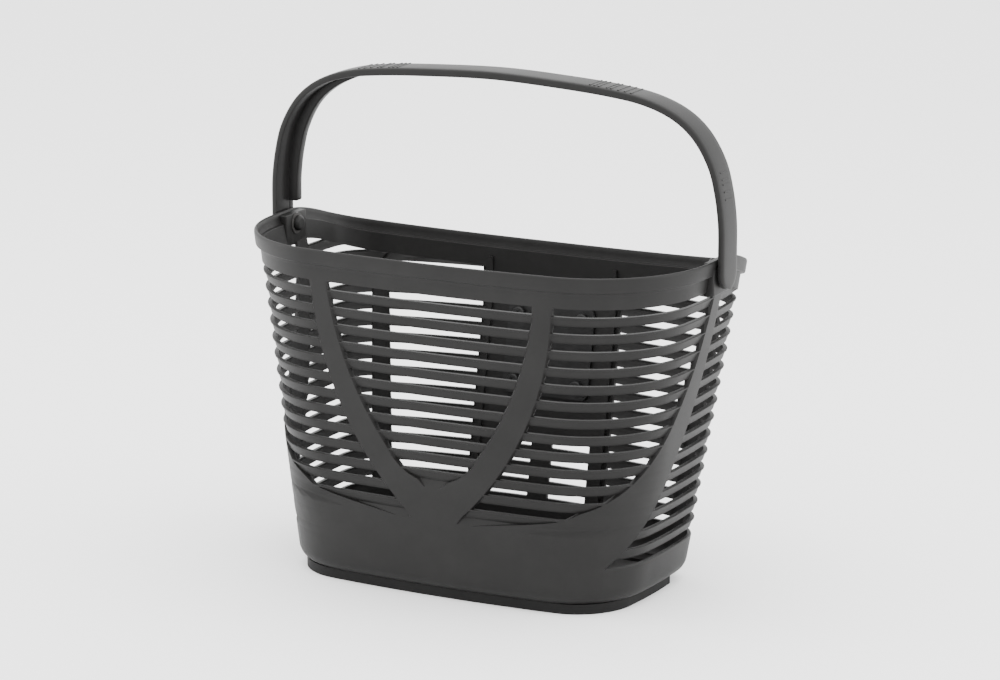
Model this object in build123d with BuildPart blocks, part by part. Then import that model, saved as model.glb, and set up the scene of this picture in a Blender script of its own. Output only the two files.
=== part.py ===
from build123d import *
import math
import os

os.makedirs("parts", exist_ok=True)

# Handlebar basket with a swing-up carry handle and a quick-release hook plate.
# Frame: +Z up, -Y is the front (away from the rider), +Y is the back (towards the handlebar).
# The origin is on the underside of the plinth, on the symmetry plane, straight below the handle pivots.

# ---- Driving dimensions, millimetres ----
RIM_HEIGHT = 237.6          # rim top at the front and at the pivots
RIM_DROP = 29.0             # fall of the full S-shaped dip of the rim behind the pivots
RIM_DROP_LENGTH = 119.0     # length of that dip; the back wall stands before its end
RIM_HALF_WIDTH = 169.8
RIM_FRONT = -109.5
RIM_BACK = 92.0
FLANGE_HEIGHT = 10.5        # the proud band along the rim
FLANGE_WALL = 2.8
FLANGE_STEP = 3.0           # how far the flange stands out from the wall below it
LEDGE = 2.5
LEDGE_BEAD = 0.4            # the ledge runs on inside the wall as a small bead
LOWER_BAND = 11.5           # plain band between the flange and the highest gap
WALL = 2.5

FRONT_RADIUS = 1000.0       # plan radii of the bowed sides
SIDE_RADIUS = 400.0
BACK_RADIUS = 500.0
FRONT_CORNER = 83.0         # plan corner radii at the rim
BACK_CORNER = 27.0
SIDE_DRAFT = 0.145          # inward lean per millimetre of depth
FRONT_DRAFT = 0.06
BACK_DRAFT = 0.20           # lean of the back wall below its shoulder
BACK_SHOULDER_Z = 172.0     # the back wall is upright above this height
FRONT_CORNER_TAPER = 0.11   # corner radii shrink downwards
BACK_CORNER_TAPER = 0.06
BACK_CORNER_BULGE = 1.32    # the back corners widen by this per millimetre that the upright wall gains

SLAT_TOP = 209.9            # top edge of the highest slat
SLAT_PITCH = 11.81
SLAT_GAP = 5.0
SLAT_ROWS = 16

PLINTH_HEIGHT = 7.0
PLINTH_HALF_WIDTH = 126.8
PLINTH_FRONT = -87.5
PLINTH_BACK = 31.5
PLINTH_FRONT_CORNER = 42.0
PLINTH_BACK_CORNER = 4.0
PLINTH_WALL = 3.0
SKIRT_ROUND = 9.0           # the skirt turns in above the plinth
FLOOR = 2.5
DRAIN_LENGTH = 60.0
DRAIN_WIDTH = 6.0
DRAIN_XS = (-72.0, 0.0, 72.0)
DRAIN_YS = (-58.0, -41.0, -24.0, 23.0)
SCREW_SPOTS = [(-110.0, -40.0), (110.0, -40.0), (-115.0, 6.0), (115.0, 6.0), (0.0, -74.0)]

PIVOT_Z = 228.5
PAD_HALF = 14.0             # square pad that stiffens the wall at each pivot
PAD_INNER_X = 161.0
PAD_LOW_Z = 213.0
LEG_INNER_X = 170.2
LEG_THICKNESS = 4.6
HANDLE_WIDTH = 24.0
HANDLE_TOP = 351.0
RIB_START_Z = 243.0
RIB_WIDTH = 7.0
RIB_REACH = 7.5
PIN_R = 4.0
RUNNING_GAP = 0.05
BUSH_R = 6.0
BUSH_FLANGE_R = 8.0
BUSH_FLANGE = 1.0
WASHER_R = 7.5
WASHER_THICKNESS = 0.8
CAP_R = 5.5
CAP_LENGTH = 3.4

BACK_GAP_INNER = 54.0       # the back wall is slatted on both sides of a plain middle panel
BACK_GAP_OUTER_TOP = 132.0
BACK_GAP_OUTER_LOW = 112.0
BACK_SLOT_INNER = 8.0
BACK_SLOT_OUTER = 38.6
BACK_SLOT_ROWS = 4

MOUNT_Z = 136.0             # centre of the hook plate on the back wall
BOLT_X = 25.0
BOLT_V = 24.0
BOLT_HOLE_R = 2.75
BOLT_R = 2.5
BOLT_HEAD_R = 4.75
BOLT_HEAD = 2.75
BOLT_WASHER_R = 5.0
BOLT_WASHER = 1.0
NUT_FLATS = 8.0
NUT_THICKNESS = 4.0
BACKING_THICKNESS = 2.0
PLATE_THICKNESS = 5.5
RAIL_OUTER = 36.0
RAIL_WEB = 28.0
RAIL_MOUTH = 22.0
RAIL_HEIGHT = 12.0
RAIL_LIP = 3.0
PLATE_HALF_V = 40.0
LEVER_V = 47.0              # lever axle, up the plate from its centre
LEVER_W = 8.0               # lever axle, out from the wall
LEVER_HALF = 11.0           # half width of the lever's arm and thumb tab
LUG_HALF = 20.0             # half width of the lug that carries the lever
LUG_TOP = 57.0
BASE_DEPTH = 6.0            # the base reaches this far inwards before the wall's shape is cut from it
EAR = 4.0
AXLE_R = 1.5
SPRING_V = 53.5
SPRING_R = 2.2
SPRING_WIRE_R = 0.3
SPRING_TURNS = 4

REACH = 200.0               # longer than the object in any direction from its middle


def gap_bottom(row):
    """Height of the bottom of a slat gap; row 0 is the highest."""
    return SLAT_TOP - SLAT_PITCH * row


def meet(centre_a, radius_a, centre_b, radius_b, pick):
    """The point where two circles meet that scores highest by pick."""
    dx = centre_b[0] - centre_a[0]
    dy = centre_b[1] - centre_a[1]
    gap = math.hypot(dx, dy)
    along = (radius_a**2 - radius_b**2 + gap**2) / (2 * gap)
    across = math.sqrt(max(radius_a**2 - along**2, 0.0))
    foot_x = centre_a[0] + dx * along / gap
    foot_y = centre_a[1] + dy * along / gap
    points = [(foot_x - side * dy * across / gap, foot_y + side * dx * across / gap) for side in (1, -1)]
    return max(points, key=pick)


def heading(centre, point):
    """Angle of the line from centre to point."""
    return math.atan2(point[1] - centre[1], point[0] - centre[0])


def arc_points(centre, radius, start, end):
    """Start, middle and end point of an arc given by its angles."""
    turns = (start, (start + end) / 2, end)
    return [(centre[0] + radius * math.cos(a), centre[1] + radius * math.sin(a)) for a in turns]


def plan(z, half_width, front, back, front_corner, back_corner):
    """Plan sketch at height z: four bowed sides joined by tangent corner arcs."""
    front_c = (0.0, front + FRONT_RADIUS)
    side_c = (half_width - SIDE_RADIUS, 0.0)
    back_c = (0.0, back - BACK_RADIUS)
    corner_f = meet(
        front_c, FRONT_RADIUS - front_corner, side_c, SIDE_RADIUS - front_corner, lambda p: p[0] - p[1]
    )
    corner_b = meet(side_c, SIDE_RADIUS - back_corner, back_c, BACK_RADIUS - back_corner, lambda p: p[0] + p[1])
    front_turn = arc_points(corner_f, front_corner, heading(front_c, corner_f), heading(side_c, corner_f))
    side = arc_points(side_c, SIDE_RADIUS, heading(side_c, corner_f), heading(side_c, corner_b))
    back_turn = arc_points(corner_b, back_corner, heading(side_c, corner_b), heading(back_c, corner_b))
    right = [front_turn, side, back_turn]
    left = [[(-x, y) for x, y in reversed(arc)] for arc in reversed(right)]
    front_arc = [left[-1][-1], (0.0, front), right[0][0]]
    back_arc = [right[-1][-1], (0.0, back), left[0][0]]
    with BuildSketch(Plane.XY.offset(z)) as outline:
        with BuildLine():
            for start, middle, end in [front_arc, *right, back_arc, *left]:
                ThreePointArc(start, middle, end)
        make_face()
    return outline.sketch


def body_plan(z, inset):
    """Plan of the tapering body at height z, moved inwards by inset."""
    depth = RIM_HEIGHT - z
    upright = BACK_DRAFT * min(depth, RIM_HEIGHT - BACK_SHOULDER_Z)
    back_corner = BACK_CORNER - inset - BACK_CORNER_TAPER * depth + BACK_CORNER_BULGE * upright
    return plan(
        z,
        RIM_HALF_WIDTH - inset - SIDE_DRAFT * depth,
        RIM_FRONT + inset + FRONT_DRAFT * depth,
        RIM_BACK - inset - BACK_DRAFT * max(BACK_SHOULDER_Z - z, 0.0),
        FRONT_CORNER - inset - FRONT_CORNER_TAPER * depth,
        back_corner,
    )


def plinth_plan(z, inset):
    """Plan of the plinth, moved inwards by inset."""
    return plan(
        z,
        PLINTH_HALF_WIDTH - inset,
        PLINTH_FRONT + inset,
        PLINTH_BACK - inset,
        PLINTH_FRONT_CORNER - inset,
        max(PLINTH_BACK_CORNER - inset, 1.0),
    )


def rim_curve(drop):
    """Side-view line of the rim lowered by drop: level in front, an S-shaped dip behind the pivots."""
    top = RIM_HEIGHT - drop
    low = top - RIM_DROP
    front = (-REACH, top)
    back = (RIM_DROP_LENGTH + 40.0, low)
    Line(front, (0.0, top))
    third = RIM_DROP_LENGTH / 3
    Bezier((0.0, top), (third, top), (2 * third, low), (3 * third, low))
    Line((RIM_DROP_LENGTH, low), back)
    return front, back


def rim_strip(upper, lower):
    """Side-view sketch between the rim line lowered by upper and by lower."""
    with BuildSketch(Plane.YZ) as strip:
        with BuildLine():
            top_front, top_back = rim_curve(upper)
            low_front, low_back = rim_curve(lower)
            Line(top_front, low_front)
            Line(top_back, low_back)
        make_face()
    return strip.sketch


# ---- Window outlines ----
def centre_window():
    """Front-view outline inside the U-shaped band."""
    with BuildSketch(Plane.XZ) as window:
        with BuildLine():
            ThreePointArc((-35.0, 105.0), (0.0, 86.0), (35.0, 105.0))
            ThreePointArc((35.0, 105.0), (62.5, 153.0), (79.5, 216.0))
            Line((79.5, 216.0), (-79.5, 216.0))
            ThreePointArc((-79.5, 216.0), (-62.5, 153.0), (-35.0, 105.0))
        make_face()
    return window.sketch


def corner_window_front():
    """Front-view outline outside the U-shaped band on the right, above the skirt."""
    with BuildSketch(Plane.XZ) as window:
        with BuildLine():
            ThreePointArc((20.0, 62.0), (69.5, 128.0), (91.5, 216.0))
            Line((91.5, 216.0), (REACH, 216.0))
            Line((REACH, 216.0), (REACH, 84.0))
            Line((REACH, 84.0), (128.0, 84.0))
            ThreePointArc((128.0, 84.0), (81.0, 66.0), (20.0, 62.0))
        make_face()
    return window.sketch


def corner_window_side():
    """Side-view outline in front of the band that climbs to the pivot."""
    with BuildSketch(Plane.YZ) as window:
        with BuildLine():
            Line((-REACH, 216.0), (0.5, 216.0))
            ThreePointArc((0.5, 216.0), (-21.0, 149.0), (-90.0, 69.0))
            Line((-90.0, 69.0), (-REACH, 40.0))
            Line((-REACH, 40.0), (-REACH, 216.0))
        make_face()
    return window.sketch


def side_window():
    """Side-view outline behind the band, up to the back corner and below the rim's lower band."""
    with BuildSketch(Plane.YZ) as window:
        with BuildLine():
            ThreePointArc((-75.0, 33.0), (-11.5, 122.0), (12.8, 216.0))
            Line((12.8, 216.0), (76.0, 216.0))
            Line((76.0, 216.0), (43.0, 33.0))
            Line((43.0, 33.0), (-75.0, 33.0))
        make_face()
    return window.sketch


def back_field():
    """Front-view outline of the slatted field in the right half of the back wall."""
    with BuildSketch(Plane.XZ) as field:
        with BuildLine():
            Line((BACK_GAP_INNER, 216.0), (BACK_GAP_OUTER_TOP, 216.0))
            Line((BACK_GAP_OUTER_TOP, 216.0), (BACK_GAP_OUTER_LOW, 28.0))
            Line((BACK_GAP_OUTER_LOW, 28.0), (BACK_GAP_INNER, 28.0))
            Line((BACK_GAP_INNER, 28.0), (BACK_GAP_INNER, 216.0))
        make_face()
    return field.sketch


def slab_centres():
    """Centres of the horizontal slabs that make the gaps."""
    return [(0.0, 0.0, gap_bottom(row) + SLAT_GAP / 2) for row in range(SLAT_ROWS)]


with BuildPart() as centre_gaps:
    with Locations(*slab_centres()):
        Box(2 * REACH, 2 * REACH, SLAT_GAP)
    extrude(centre_window(), amount=REACH, mode=Mode.INTERSECT)
    split(bisect_by=Plane.XZ.offset(60.0), keep=Keep.TOP)

with BuildPart() as right_corner_gaps:
    with Locations(*slab_centres()):
        Box(2 * REACH, 2 * REACH, SLAT_GAP)
    extrude(corner_window_front(), amount=REACH, mode=Mode.INTERSECT)
    extrude(corner_window_side(), amount=REACH, both=True, mode=Mode.INTERSECT)

with BuildPart() as side_gaps:
    with Locations(*slab_centres()):
        Box(2 * REACH, 2 * REACH, SLAT_GAP)
    extrude(side_window(), amount=REACH, both=True, mode=Mode.INTERSECT)
    extrude(rim_strip(FLANGE_HEIGHT + LOWER_BAND, REACH), amount=REACH, both=True, mode=Mode.INTERSECT)

with BuildPart() as right_back_gaps:
    with Locations(*slab_centres()):
        Box(2 * REACH, 2 * REACH, SLAT_GAP)
    extrude(back_field(), amount=-REACH, mode=Mode.INTERSECT)
    extrude(rim_strip(FLANGE_HEIGHT + LOWER_BAND, REACH), amount=REACH, both=True, mode=Mode.INTERSECT)
    split(bisect_by=Plane.XZ.offset(-20.0), keep=Keep.BOTTOM)

with BuildPart() as back_slots:
    with BuildSketch(Plane.XZ):
        slot_x = (BACK_SLOT_INNER + BACK_SLOT_OUTER) / 2
        slot_rows = range(SLAT_ROWS - BACK_SLOT_ROWS, SLAT_ROWS)
        slot_spots = [(side * slot_x, gap_bottom(row) + SLAT_GAP / 2) for side in (1, -1) for row in slot_rows]
        with Locations(*slot_spots):
            SlotOverall(BACK_SLOT_OUTER - BACK_SLOT_INNER, SLAT_GAP)
    extrude(amount=-REACH)
    split(bisect_by=Plane.XZ.offset(-20.0), keep=Keep.BOTTOM)

with BuildPart() as drains:
    with BuildSketch(Plane.XY.offset(-1.0)):
        with Locations(*[(x, y) for x in DRAIN_XS for y in DRAIN_YS]):
            SlotOverall(DRAIN_LENGTH, DRAIN_WIDTH)
    extrude(amount=PLINTH_HEIGHT + FLOOR + 2.0)

# ---- Rim flange: a proud band with a ledge back to the wall ----
with BuildPart() as rim_flange:
    loft([body_plan(175.0, 0.0), body_plan(245.0, 0.0)], ruled=True)
    loft([body_plan(174.0, FLANGE_WALL), body_plan(246.0, FLANGE_WALL)], ruled=True, mode=Mode.SUBTRACT)
    extrude(rim_strip(0.0, FLANGE_HEIGHT), amount=REACH, both=True, mode=Mode.INTERSECT)

with BuildPart() as rim_ledge:
    loft([body_plan(175.0, 0.0), body_plan(245.0, 0.0)], ruled=True)
    loft(
        [
            body_plan(174.0, FLANGE_STEP + WALL + LEDGE_BEAD),
            body_plan(246.0, FLANGE_STEP + WALL + LEDGE_BEAD),
        ],
        ruled=True,
        mode=Mode.SUBTRACT,
    )
    extrude(rim_strip(FLANGE_HEIGHT - LEDGE, FLANGE_HEIGHT), amount=REACH, both=True, mode=Mode.INTERSECT)

# ---- Plane of the hook plate: on the outside of the leaning back wall ----
back_lean = math.degrees(math.atan(BACK_DRAFT))
mount_y = RIM_BACK - FLANGE_STEP - BACK_DRAFT * (BACK_SHOULDER_Z - MOUNT_Z)
outward = Vector(0.0, math.cos(math.radians(back_lean)), -math.sin(math.radians(back_lean)))
mount_plane = Plane(origin=(0.0, mount_y, MOUNT_Z), x_dir=(-1, 0, 0), z_dir=outward)
bolt_spots = [(x, v) for x in (-BOLT_X, BOLT_X) for v in (-BOLT_V, BOLT_V)]
# The flat backing plate bears on the bowed wall along its two upright edges.
backing_half = BOLT_X + 9.0
wall_depth = WALL * math.cos(math.radians(back_lean)) + backing_half**2 / (2 * BACK_RADIUS) + 0.1
# Section plane through the lever: up the plate is its X, towards the wall is its Y.
lever_plane = Plane(origin=mount_plane.origin, x_dir=mount_plane.y_dir, z_dir=(1, 0, 0))

# ---- Basket shell: one moulding ----
with BuildPart() as basket_shell:
    loft(
        [
            body_plan(PLINTH_HEIGHT, FLANGE_STEP + SKIRT_ROUND * 0.7),
            body_plan(PLINTH_HEIGHT + SKIRT_ROUND * 0.3, FLANGE_STEP + SKIRT_ROUND * 0.25),
            body_plan(PLINTH_HEIGHT + SKIRT_ROUND, FLANGE_STEP),
            body_plan(BACK_SHOULDER_Z, FLANGE_STEP),
            body_plan(245.0, FLANGE_STEP),
        ],
        ruled=True,
    )
    loft(
        [
            body_plan(PLINTH_HEIGHT + FLOOR, FLANGE_STEP + SKIRT_ROUND),
            body_plan(PLINTH_HEIGHT + SKIRT_ROUND, FLANGE_STEP + WALL),
            body_plan(BACK_SHOULDER_Z, FLANGE_STEP + WALL),
            body_plan(246.0, FLANGE_STEP + WALL),
        ],
        ruled=True,
        mode=Mode.SUBTRACT,
    )
    extrude(rim_strip(FLANGE_HEIGHT - LEDGE / 2, REACH + 60.0), amount=REACH, both=True, mode=Mode.INTERSECT)
    add(rim_ledge.part)
    add(rim_flange.part)
    add(centre_gaps.part, mode=Mode.SUBTRACT)
    add(right_corner_gaps.part, mode=Mode.SUBTRACT)
    add(mirror(right_corner_gaps.part, about=Plane.YZ, mode=Mode.PRIVATE), mode=Mode.SUBTRACT)
    add(side_gaps.part, mode=Mode.SUBTRACT)
    add(right_back_gaps.part, mode=Mode.SUBTRACT)
    add(mirror(right_back_gaps.part, about=Plane.YZ, mode=Mode.PRIVATE), mode=Mode.SUBTRACT)
    add(back_slots.part, mode=Mode.SUBTRACT)
    add(drains.part, mode=Mode.SUBTRACT)
    # Pivot pads and their bush holes.
    pad_x = (PAD_INNER_X + RIM_HALF_WIDTH) / 2
    pad_z = (PAD_LOW_Z + RIM_HEIGHT) / 2
    with Locations((pad_x, 0.0, pad_z), (-pad_x, 0.0, pad_z)):
        Box(RIM_HALF_WIDTH - PAD_INNER_X, 2 * PAD_HALF, RIM_HEIGHT - PAD_LOW_Z)
    with Locations(Location((0.0, 0.0, PIVOT_Z), (0.0, 90.0, 0.0))):
        Cylinder(BUSH_R, 2 * REACH, mode=Mode.SUBTRACT)
    with Locations(
        Location((RIM_HALF_WIDTH, 0.0, PIVOT_Z), (0.0, 90.0, 0.0)),
        Location((-RIM_HALF_WIDTH, 0.0, PIVOT_Z), (0.0, 90.0, 0.0)),
    ):
        Cylinder(BUSH_FLANGE_R, 2 * BUSH_FLANGE, mode=Mode.SUBTRACT)
    # Holes for the hook plate's bolts.
    with BuildSketch(mount_plane.offset(-3 * WALL)):
        with Locations(*bolt_spots):
            Circle(BOLT_HOLE_R)
    extrude(amount=6 * WALL, mode=Mode.SUBTRACT)
    # Pilot holes for the plinth's screws.
    with Locations(*[(x, y, PLINTH_HEIGHT + FLOOR / 2) for x, y in SCREW_SPOTS]):
        Cylinder(1.5, FLOOR + 1.0, mode=Mode.SUBTRACT)

# ---- Plinth under the skirt, with its screws ----
with BuildPart() as base_plinth:
    loft([plinth_plan(0.0, 0.0), plinth_plan(PLINTH_HEIGHT, 0.0)], ruled=True)
    loft(
        [plinth_plan(PLINTH_WALL, PLINTH_WALL), plinth_plan(PLINTH_HEIGHT + 1.0, PLINTH_WALL)],
        ruled=True,
        mode=Mode.SUBTRACT,
    )
    with Locations(*[(x, y, PLINTH_HEIGHT / 2) for x, y in SCREW_SPOTS]):
        Cylinder(5.5, PLINTH_HEIGHT)
    with Locations(*[(x, y, PLINTH_HEIGHT / 2) for x, y in SCREW_SPOTS]):
        Cylinder(1.7, PLINTH_HEIGHT + 1.0, mode=Mode.SUBTRACT)
    with Locations(*[(x, y, 1.25) for x, y in SCREW_SPOTS]):
        Cylinder(3.3, 3.5, mode=Mode.SUBTRACT)
    add(drains.part, mode=Mode.SUBTRACT)

with BuildPart() as plinth_screws:
    with Locations(*[(x, y, 2.0) for x, y in SCREW_SPOTS]):
        Cylinder(3.0, 2.0)
    with Locations(*[(x, y, 6.75) for x, y in SCREW_SPOTS]):
        Cylinder(1.5, 7.5)

# ---- Carry handle ----
def arch_band(outer_shift, inner_shift):
    """Front-view sketch of the bail between two curves shifted in from its outer line."""

    def half_line(shift, top):
        knee = LEG_INNER_X + LEG_THICKNESS - shift
        Line((knee, PIVOT_Z), (knee, 262.0))
        Spline(
            (knee, 262.0),
            (168.6 - shift, 294.0 - shift * 0.2),
            (147.5 - shift * 0.72, 326.5 - shift * 0.72),
            (108.0 - shift * 0.2, 345.2 - shift),
            (0.0, top),
            tangents=[(0.0, 1.0), (-1.0, 0.0)],
        )

    with BuildSketch(Plane.XZ.offset(0.0)) as band:
        with BuildLine():
            half_line(outer_shift, HANDLE_TOP - outer_shift)
            half_line(inner_shift, HANDLE_TOP - inner_shift)
            leg_outer_x = LEG_INNER_X + LEG_THICKNESS
            Line((leg_outer_x - outer_shift, PIVOT_Z), (leg_outer_x - inner_shift, PIVOT_Z))
            Line((0.0, HANDLE_TOP - outer_shift), (0.0, HANDLE_TOP - inner_shift))
        make_face()
    return band.sketch


with BuildPart() as carry_handle:
    extrude(arch_band(0.0, LEG_THICKNESS), amount=HANDLE_WIDTH / 2, both=True)
    # Rounded end of the leg about the pivot.
    with BuildSketch(Plane.YZ.offset(LEG_INNER_X)):
        with Locations((0.0, PIVOT_Z)):
            Circle(HANDLE_WIDTH / 2)
    extrude(amount=LEG_THICKNESS)
    # Blind hole for the pin.
    with Locations(Location((LEG_INNER_X, 0.0, PIVOT_Z), (0.0, 90.0, 0.0))):
        Cylinder(PIN_R, 6.4, mode=Mode.SUBTRACT)
    # Stiffening rib on the inner face, along the back half.
    with BuildSketch(Plane.XZ.offset(-HANDLE_WIDTH / 2)):
        with BuildLine():
            Line((LEG_INNER_X + 0.5, RIB_START_Z), (LEG_INNER_X - RIB_REACH, RIB_START_Z))
            Spline(
                (LEG_INNER_X - RIB_REACH, RIB_START_Z),
                (LEG_INNER_X - RIB_REACH, 272.0),
                (157.0, 296.0),
                (134.0, 326.0),
                (95.0, 343.0),
                tangents=[(0.0, 1.0), (-1.0, 0.15)],
            )
            Line((95.0, 343.0), (95.0, 344.5))
            Spline(
                (95.0, 344.5),
                (146.0, 321.0),
                (166.0, 290.0),
                (LEG_INNER_X + 0.5, 262.0),
                tangents=[(1.0, -0.2), (0.0, -1.0)],
            )
            Line((LEG_INNER_X + 0.5, 262.0), (LEG_INNER_X + 0.5, RIB_START_Z))
        make_face()
    extrude(amount=RIB_WIDTH)
    mirror(about=Plane.YZ)

# ---- Pivots: pin, bush, washer and cap on each side ----
pivot_parts = {}
for side_name, sign in (("right", 1.0), ("left", -1.0)):
    with BuildPart() as pin:
        with BuildSketch(Plane.YZ.offset(sign * (LEG_INNER_X + 3.2))):
            with Locations((0.0, PIVOT_Z)):
                Circle(PIN_R)
        extrude(amount=-sign * (LEG_INNER_X + 3.2 - PAD_INNER_X + WASHER_THICKNESS + 0.2 + 2.4))
    with BuildPart() as bush:
        with BuildSketch(Plane.YZ.offset(sign * RIM_HALF_WIDTH)):
            with Locations((0.0, PIVOT_Z)):
                Circle(BUSH_R)
        extrude(amount=-sign * (RIM_HALF_WIDTH - PAD_INNER_X))
        with BuildSketch(Plane.YZ.offset(sign * RIM_HALF_WIDTH)):
            with Locations((0.0, PIVOT_Z)):
                Circle(BUSH_FLANGE_R)
        extrude(amount=-sign * BUSH_FLANGE)
        with BuildSketch(Plane.YZ.offset(sign * REACH)):
            with Locations((0.0, PIVOT_Z)):
                Circle(PIN_R + RUNNING_GAP)
        extrude(amount=-sign * REACH, mode=Mode.SUBTRACT)
    with BuildPart() as washer:
        with BuildSketch(Plane.YZ.offset(sign * (PAD_INNER_X - 0.1))):
            with Locations((0.0, PIVOT_Z)):
                Circle(WASHER_R)
                Circle(PIN_R + 0.3, mode=Mode.SUBTRACT)
        extrude(amount=-sign * WASHER_THICKNESS)
    with BuildPart() as cap:
        cap_start = PAD_INNER_X - WASHER_THICKNESS - 0.2
        with BuildSketch(Plane.YZ.offset(sign * cap_start)):
            with Locations((0.0, PIVOT_Z)):
                Circle(CAP_R)
        extrude(amount=-sign * CAP_LENGTH)
        fillet(cap.faces().sort_by(Axis.X)[0 if sign > 0 else -1].edges(), 2.4)
        with BuildSketch(Plane.YZ.offset(sign * cap_start)):
            with Locations((0.0, PIVOT_Z)):
                Circle(PIN_R)
        extrude(amount=-sign * 2.4, mode=Mode.SUBTRACT)
    pivot_parts[f"pivot_pin_{side_name}"] = pin.part
    pivot_parts[f"pivot_bush_{side_name}"] = bush.part
    pivot_parts[f"pivot_washer_{side_name}"] = washer.part
    pivot_parts[f"pivot_cap_{side_name}"] = cap.part

# ---- Quick-release hook plate on the back, drawn on the leaning wall ----
with BuildPart() as backing_plate:
    with BuildSketch(mount_plane.offset(-wall_depth - BACKING_THICKNESS)):
        RectangleRounded(2 * backing_half, 2 * (BOLT_V + 9.0), 6.0)
        with Locations(*bolt_spots):
            Circle(BOLT_HOLE_R, mode=Mode.SUBTRACT)
    extrude(amount=BACKING_THICKNESS)

with BuildPart() as hook_plate:
    # Base and lever lug, moulded to the bow of the wall.
    with BuildSketch(mount_plane.offset(-BASE_DEPTH)):
        RectangleRounded(2 * RAIL_OUTER, 2 * PLATE_HALF_V, 5.0)
    extrude(amount=PLATE_THICKNESS + BASE_DEPTH)
    with BuildSketch(mount_plane.offset(-BASE_DEPTH)):
        with Locations((0.0, LUG_TOP / 2)):
            RectangleRounded(2 * LUG_HALF, LUG_TOP, 3.0)
    extrude(amount=3.0 + BASE_DEPTH)
    loft(
        [body_plan(60.0, FLANGE_STEP), body_plan(BACK_SHOULDER_Z, FLANGE_STEP), body_plan(230.0, FLANGE_STEP)],
        ruled=True,
        mode=Mode.SUBTRACT,
    )
    # The two rails with their inturned lips.
    rail_x = (RAIL_OUTER + RAIL_WEB) / 2
    with BuildSketch(mount_plane.offset(PLATE_THICKNESS)):
        with Locations((rail_x, -1.0), (-rail_x, -1.0)):
            Rectangle(RAIL_OUTER - RAIL_WEB, 2 * PLATE_HALF_V - 12.0)
    extrude(amount=RAIL_HEIGHT - PLATE_THICKNESS)
    lip_x = (RAIL_OUTER + RAIL_MOUTH) / 2
    with BuildSketch(mount_plane.offset(RAIL_HEIGHT - RAIL_LIP)):
        with Locations((lip_x, -1.0), (-lip_x, -1.0)):
            Rectangle(RAIL_OUTER - RAIL_MOUTH, 2 * PLATE_HALF_V - 12.0)
    extrude(amount=RAIL_LIP)
    # Top stop of the channel.
    with BuildSketch(mount_plane.offset(PLATE_THICKNESS)):
        with Locations((0.0, PLATE_HALF_V - 8.0)):
            Rectangle(2 * RAIL_WEB, 6.0)
    extrude(amount=2.5)
    # Ears that carry the lever's axle.
    ear_x = LUG_HALF - EAR / 2
    with BuildSketch(mount_plane.offset(2.0)):
        with Locations((ear_x, LEVER_V), (-ear_x, LEVER_V)):
            RectangleRounded(EAR, 11.0, 1.0)
    extrude(amount=LEVER_W + 3.0 - 2.0)
    with BuildSketch(lever_plane.offset(-LUG_HALF - 1.0)):
        with Locations((LEVER_V, -LEVER_W)):
            Circle(AXLE_R)
    extrude(amount=2 * LUG_HALF + 2.0, mode=Mode.SUBTRACT)
    with BuildSketch(mount_plane.offset(-BASE_DEPTH)):
        with Locations(*bolt_spots):
            Circle(BOLT_HOLE_R)
    extrude(amount=PLATE_THICKNESS + BASE_DEPTH + 1.0, mode=Mode.SUBTRACT)
    with BuildSketch(mount_plane.offset(PLATE_THICKNESS - NUT_THICKNESS)):
        with Locations(*bolt_spots):
            RegularPolygon(NUT_FLATS / 2 + 0.1, 6, major_radius=False)
    extrude(amount=NUT_THICKNESS + 1.0, mode=Mode.SUBTRACT)

washer_seat = -wall_depth - BACKING_THICKNESS
with BuildPart() as mount_washers:
    with BuildSketch(mount_plane.offset(washer_seat - BOLT_WASHER)):
        with Locations(*bolt_spots):
            Circle(BOLT_WASHER_R)
            Circle(BOLT_R + 0.15, mode=Mode.SUBTRACT)
    extrude(amount=BOLT_WASHER)

with BuildPart() as mount_screws:
    with BuildSketch(mount_plane.offset(washer_seat - BOLT_WASHER - BOLT_HEAD)):
        with Locations(*bolt_spots):
            Circle(BOLT_HEAD_R)
    extrude(amount=BOLT_HEAD)
    fillet(mount_screws.faces().sort_by(Axis(mount_plane.origin, mount_plane.z_dir))[:4].edges(), 1.6)
    with BuildSketch(mount_plane.offset(washer_seat - BOLT_WASHER)):
        with Locations(*bolt_spots):
            Circle(BOLT_R)
    extrude(amount=PLATE_THICKNESS - washer_seat + BOLT_WASHER)
    # Hexagon sockets.
    with BuildSketch(mount_plane.offset(washer_seat - BOLT_WASHER - BOLT_HEAD)):
        with Locations(*bolt_spots):
            RegularPolygon(1.5, 6, major_radius=False)
    extrude(amount=1.6, mode=Mode.SUBTRACT)

with BuildPart() as mount_nuts:
    with BuildSketch(mount_plane.offset(PLATE_THICKNESS - NUT_THICKNESS)):
        with Locations(*bolt_spots):
            RegularPolygon(NUT_FLATS / 2, 6, major_radius=False)
            Circle(BOLT_R + 0.02, mode=Mode.SUBTRACT)
    extrude(amount=NUT_THICKNESS)

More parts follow.
